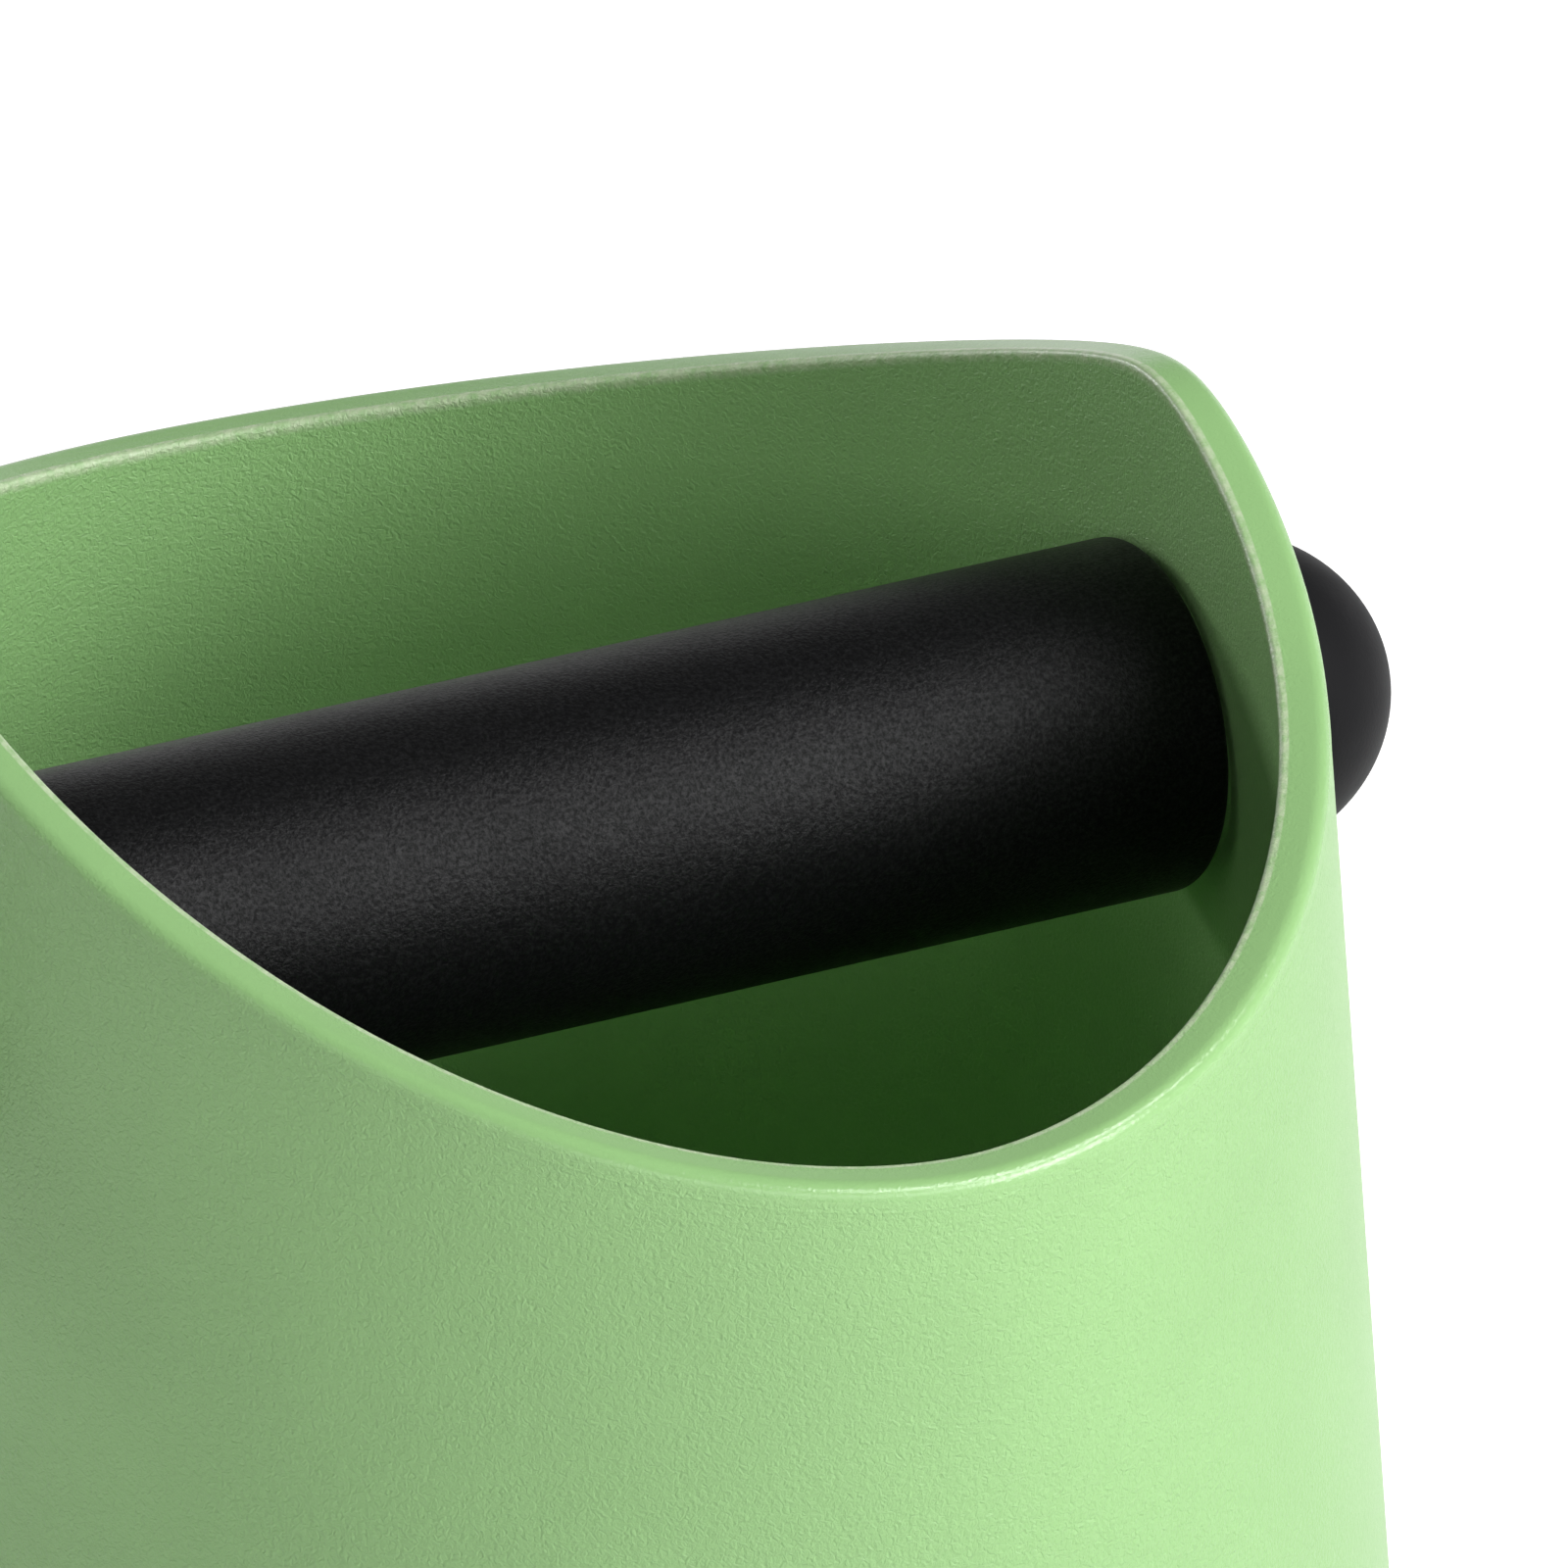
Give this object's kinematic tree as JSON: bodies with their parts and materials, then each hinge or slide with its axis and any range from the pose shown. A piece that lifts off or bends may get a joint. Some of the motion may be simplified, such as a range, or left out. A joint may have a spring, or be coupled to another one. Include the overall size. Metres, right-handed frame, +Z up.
{
  "type": "espresso knock box",
  "caption": "Oval tapered knock box tub with a saddle rim and a rubber sleeved bar across its mouth, held by domed screw caps, for knocking spent coffee pucks out.",
  "frame": {"origin": "centre of the underside, on the plane it stands on", "axes": "+X along the bar towards the right cap, -Y the front, +Z up"},
  "size_m": [0.1454, 0.1622, 0.121],
  "materials": {
    "green_plastic": "green ABS, fine moulded grain on the walls and a smooth rim",
    "boot_rubber": "black matte rubber",
    "core_steel": "turned steel",
    "sleeve_rubber": "black fine grained matte rubber",
    "washer_steel": "stainless steel",
    "charcoal_plastic": "charcoal satin plastic",
    "insert_brass": "turned brass",
    "seal_rubber": "black rubber"
  },
  "bodies": {
    "tub": {"body_shell": "green_plastic", "base_boot": "boot_rubber", "left_bar_washer": "washer_steel", "right_bar_washer": "washer_steel"},
    "sleeve": {"bar_sleeve": "sleeve_rubber"},
    "core": {"bar_core": "core_steel"},
    "left_seal": {"left_cap_seal": "seal_rubber"},
    "left_knob": {"left_cap": "charcoal_plastic", "left_cap_insert": "insert_brass"},
    "right_seal": {"right_cap_seal": "seal_rubber"},
    "right_knob": {"right_cap": "charcoal_plastic", "right_cap_insert": "insert_brass"}
  },
  "joints": [
    {"name": "sleeve_turn", "type": "hinge", "parent": "tub", "child": "sleeve", "pos_m": [0, 0, 0.092], "axis": [1, 0, 0], "continuous": true},
    {"name": "core_draw", "type": "slide", "parent": "tub", "child": "core", "axis": [-1, 0, 0], "range_m": [0, 0.135]},
    {"name": "left_cap_slide", "type": "slide", "parent": "core", "child": "left_seal", "axis": [-1, 0, 0], "range_m": [0, 0.00875]},
    {"name": "left_cap_turn", "type": "hinge", "parent": "left_seal", "child": "left_knob", "pos_m": [-0.066, 0, 0.092], "axis": [-1, 0, 0], "range_deg": [0, 2520]},
    {"name": "right_cap_slide", "type": "slide", "parent": "tub", "child": "right_seal", "axis": [1, 0, 0], "range_m": [0, 0.00875]},
    {"name": "right_cap_turn", "type": "hinge", "parent": "right_seal", "child": "right_knob", "pos_m": [0.066, 0, 0.092], "axis": [1, 0, 0], "range_deg": [0, 2520]}
  ],
  "couplings": [
    {"joint": "left_cap_slide", "follows": "left_cap_turn", "m_per_rad": 0.00019894},
    {"joint": "right_cap_slide", "follows": "right_cap_turn", "m_per_rad": 0.00019894}
  ]
}
